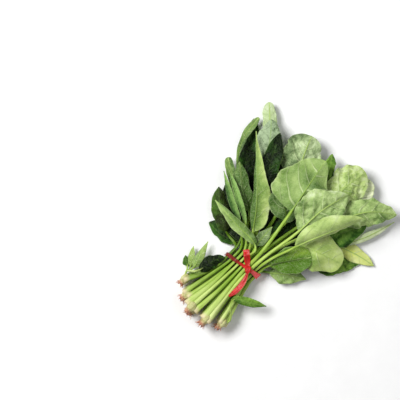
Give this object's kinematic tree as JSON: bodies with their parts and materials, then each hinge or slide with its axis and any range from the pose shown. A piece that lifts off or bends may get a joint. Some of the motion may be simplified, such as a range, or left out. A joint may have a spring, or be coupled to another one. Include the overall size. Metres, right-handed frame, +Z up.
{
  "type": "spinach bunch",
  "caption": "Tied bunch of fresh young spinach lying on its side, leaf blades fanned out past a red tie, cut roots at the other end.",
  "frame": {"origin": "on the surface that the bunch rests on, below the middle of its box", "axes": "+X along the stalks from the cut roots to the leaf tips, +Z up from the surface, +Y to the left seen from above with +X ahead"},
  "size_m": [0.2958, 0.2518, 0.0651],
  "materials": {
    "spinach": "fresh leaf, waxy satin",
    "tie": "soft satin"
  },
  "bodies": {
    "root": {"plant_01": "spinach", "plant_02": "spinach", "plant_03": "spinach", "plant_04": "spinach", "plant_05": "spinach", "plant_06": "spinach", "plant_07": "spinach", "plant_08": "spinach", "plant_09": "spinach", "plant_10": "spinach", "plant_11": "spinach", "tie": "tie"}
  },
  "joints": []
}
